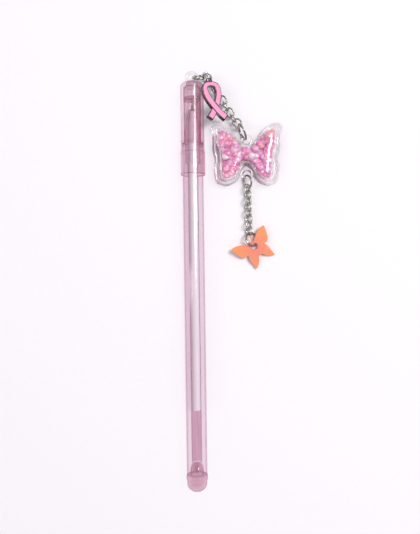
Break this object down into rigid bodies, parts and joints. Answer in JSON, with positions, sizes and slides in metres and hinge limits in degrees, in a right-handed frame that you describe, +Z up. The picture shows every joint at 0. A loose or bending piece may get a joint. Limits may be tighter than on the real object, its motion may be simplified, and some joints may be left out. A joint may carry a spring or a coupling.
{
  "type": "gel pen",
  "caption": "Translucent pink capped gel pen, its cap loop carrying a chain with a ribbon charm, a clear butterfly shaker case and a butterfly pendant.",
  "frame": {"origin": "bottom centre of the whole object as it lies on a table, pen and charms together", "axes": "+Y along the pen towards its cap, +X across the pen towards the charms, +Z up off the table"},
  "size_m": [0.0412, 0.1676, 0.0101],
  "materials": {
    "barrel_clear": "water-clear barrel with a pink cast and polished faces",
    "plug_pink": "translucent pink moulding",
    "grip_pink": "translucent rose front moulding",
    "refill_white": "milky refill tube",
    "ink_pink": "pink gel ink",
    "follower_gel": "clear follower grease",
    "tip_metal": "turned nickel silver cone",
    "ball_metal": "polished carbide ball",
    "cap_pink": "translucent rose cap",
    "seal_pink": "soft sealing disc",
    "clear_plastic": "water-clear moulding",
    "ring_metal": "bright nickel jump ring",
    "chain_metal": "textured antique silver chain",
    "ribbon_metal": "polished silver frame with a dark line",
    "ribbon_enamel": "soft pink enamel fill",
    "sequin_pink": "pearly pink flake",
    "sequin_orange": "coral flake",
    "sequin_pearl": "iridescent white flake",
    "pendant_film": "orange to coral iridescent sheet"
  },
  "bodies": {
    "pen": {"barrel": "barrel_clear", "end_plug": "plug_pink", "front_section": "grip_pink", "refill_tube": "refill_white", "ink_column": "ink_pink", "ink_follower": "follower_gel", "tip_holder": "refill_white", "tip_cone": "tip_metal"},
    "ball": {"writing_ball": "ball_metal"},
    "cap": {"cap_shell": "cap_pink", "cap_seal": "seal_pink", "cap_loop": "clear_plastic"},
    "cap_ring": {"cap_ring": "ring_metal"},
    "ribbon_ring": {"ribbon_ring": "ring_metal"},
    "ribbon": {"ribbon_base": "ribbon_metal", "ribbon_enamel": "ribbon_enamel"},
    "upper_link_1": {"upper_link_1": "chain_metal"},
    "upper_link_2": {"upper_link_2": "chain_metal"},
    "upper_link_3": {"upper_link_3": "chain_metal"},
    "upper_link_4": {"upper_link_4": "chain_metal"},
    "upper_link_5": {"upper_link_5": "chain_metal"},
    "upper_link_6": {"upper_link_6": "chain_metal"},
    "upper_link_7": {"upper_link_7": "chain_metal"},
    "upper_link_8": {"upper_link_8": "chain_metal"},
    "upper_link_9": {"upper_link_9": "chain_metal"},
    "case_ring": {"case_ring": "ring_metal"},
    "case": {"case_front": "clear_plastic", "case_back": "clear_plastic", "pink_sequins": "sequin_pink", "orange_sequins": "sequin_orange", "pearl_sequins": "sequin_pearl"},
    "lower_ring": {"lower_ring": "ring_metal"},
    "lower_link_1": {"lower_link_1": "chain_metal"},
    "lower_link_2": {"lower_link_2": "chain_metal"},
    "lower_link_3": {"lower_link_3": "chain_metal"},
    "lower_link_4": {"lower_link_4": "chain_metal"},
    "lower_link_5": {"lower_link_5": "chain_metal"},
    "lower_link_6": {"lower_link_6": "chain_metal"},
    "lower_link_7": {"lower_link_7": "chain_metal"},
    "lower_link_8": {"lower_link_8": "chain_metal"},
    "pendant_ring": {"pendant_ring": "ring_metal"},
    "pendant": {"pendant_butterfly": "pendant_film"}
  },
  "joints": [
    {"name": "cap_pull", "type": "slide", "parent": "pen", "child": "cap", "axis": [0, 1, 0], "range_m": [0, 0.045]},
    {"name": "ball_roll", "type": "hinge", "parent": "pen", "child": "ball", "pos_m": [-0.01575, 0.0701, 0.00485], "axis": [1, 0, 0], "continuous": true},
    {"name": "cap_ring_swing", "type": "hinge", "parent": "cap", "child": "cap_ring", "pos_m": [-0.0154, 0.08125, 0.00495], "axis": [0, 0, 1], "range_deg": [-1, 20]},
    {"name": "upper_link_1_swing", "type": "hinge", "parent": "cap_ring", "child": "upper_link_1", "pos_m": [-0.0102, 0.0817, 0.0046], "axis": [0, 0, -1], "range_deg": [-4, 3]},
    {"name": "upper_link_2_swing", "type": "hinge", "parent": "upper_link_1", "child": "upper_link_2", "pos_m": [-0.00882, 0.08079, 0.00394], "axis": [0, 0, 1], "range_deg": [-3, 6]},
    {"name": "upper_link_3_swing", "type": "hinge", "parent": "upper_link_2", "child": "upper_link_3", "pos_m": [-0.00703, 0.0789, 0.00304], "axis": [0, 0, -1], "range_deg": [-20, 3]},
    {"name": "upper_link_4_swing", "type": "hinge", "parent": "upper_link_3", "child": "upper_link_4", "pos_m": [-0.00559, 0.07654, 0.00245], "axis": [0, 0, 1], "range_deg": [-4, 20]},
    {"name": "upper_link_5_swing", "type": "hinge", "parent": "upper_link_4", "child": "upper_link_5", "pos_m": [-0.0042, 0.07406, 0.0022], "axis": [0, 0, -1], "range_deg": [-20, 4]},
    {"name": "upper_link_6_swing", "type": "hinge", "parent": "upper_link_5", "child": "upper_link_6", "pos_m": [-0.00279, 0.07159, 0.00215], "axis": [0, 0, 1], "range_deg": [-5, 20]},
    {"name": "upper_link_7_swing", "type": "hinge", "parent": "upper_link_6", "child": "upper_link_7", "pos_m": [-0.00137, 0.06912, 0.00215], "axis": [0, 0, -1], "range_deg": [-20, 5]},
    {"name": "upper_link_8_swing", "type": "hinge", "parent": "upper_link_7", "child": "upper_link_8", "pos_m": [0.00005, 0.06667, 0.00232], "axis": [0, 0, 1], "range_deg": [-6, 20]},
    {"name": "upper_link_9_swing", "type": "hinge", "parent": "upper_link_8", "child": "upper_link_9", "pos_m": [0.00156, 0.06436, 0.00289], "axis": [0, 0, -1], "range_deg": [-18, 7]},
    {"name": "case_ring_swing", "type": "hinge", "parent": "upper_link_9", "child": "case_ring", "pos_m": [0.00285, 0.06275, 0.00351], "axis": [0, 0, 1], "range_deg": [-3, 20]},
    {"name": "case_swing", "type": "hinge", "parent": "case_ring", "child": "case", "pos_m": [0.00555, 0.0568, 0.00335], "axis": [0, 0, -1], "range_deg": [-25, 4]},
    {"name": "lower_ring_swing", "type": "hinge", "parent": "case", "child": "lower_ring", "pos_m": [0.00595, 0.0422, 0.0032], "axis": [0, 0, 1], "range_deg": [-8, 25]},
    {"name": "lower_link_1_swing", "type": "hinge", "parent": "lower_ring", "child": "lower_link_1", "pos_m": [0.00635, 0.0374, 0.0019], "axis": [0, 0, -1], "range_deg": [-20, 20]},
    {"name": "lower_link_2_swing", "type": "hinge", "parent": "lower_link_1", "child": "lower_link_2", "pos_m": [0.00627, 0.03587, 0.00165], "axis": [0, 0, 1], "range_deg": [-20, 20]},
    {"name": "lower_link_3_swing", "type": "hinge", "parent": "lower_link_2", "child": "lower_link_3", "pos_m": [0.00631, 0.03341, 0.00165], "axis": [0, 0, -1], "range_deg": [-20, 20]},
    {"name": "lower_link_4_swing", "type": "hinge", "parent": "lower_link_3", "child": "lower_link_4", "pos_m": [0.00636, 0.03095, 0.00165], "axis": [0, 0, 1], "range_deg": [-20, 20]},
    {"name": "lower_link_5_swing", "type": "hinge", "parent": "lower_link_4", "child": "lower_link_5", "pos_m": [0.0064, 0.02849, 0.00165], "axis": [0, 0, -1], "range_deg": [-20, 20]},
    {"name": "lower_link_6_swing", "type": "hinge", "parent": "lower_link_5", "child": "lower_link_6", "pos_m": [0.00644, 0.02603, 0.00165], "axis": [0, 0, 1], "range_deg": [-20, 20]},
    {"name": "lower_link_7_swing", "type": "hinge", "parent": "lower_link_6", "child": "lower_link_7", "pos_m": [0.00649, 0.02357, 0.00165], "axis": [0, 0, -1], "range_deg": [-20, 20]},
    {"name": "lower_link_8_swing", "type": "hinge", "parent": "lower_link_7", "child": "lower_link_8", "pos_m": [0.00653, 0.02111, 0.00165], "axis": [0, 0, 1], "range_deg": [-20, 20]},
    {"name": "pendant_ring_swing", "type": "hinge", "parent": "lower_link_8", "child": "pendant_ring", "pos_m": [0.00655, 0.01908, 0.00175], "axis": [0, 0, -1], "range_deg": [-6, 14]},
    {"name": "pendant_swing", "type": "hinge", "parent": "pendant_ring", "child": "pendant", "pos_m": [0.00865, 0.014, 0.00215], "axis": [0, 0, 1], "range_deg": [0, 9]},
    {"name": "ribbon_ring_swing", "type": "hinge", "parent": "cap_ring", "child": "ribbon_ring", "pos_m": [-0.01137, 0.08094, 0.00582], "axis": [0, 0, 1], "range_deg": [-1, 4]},
    {"name": "ribbon_swing", "type": "hinge", "parent": "ribbon_ring", "child": "ribbon", "pos_m": [-0.0089, 0.07932, 0.00735], "axis": [0, 0, -1], "range_deg": [-4, 0]}
  ]
}
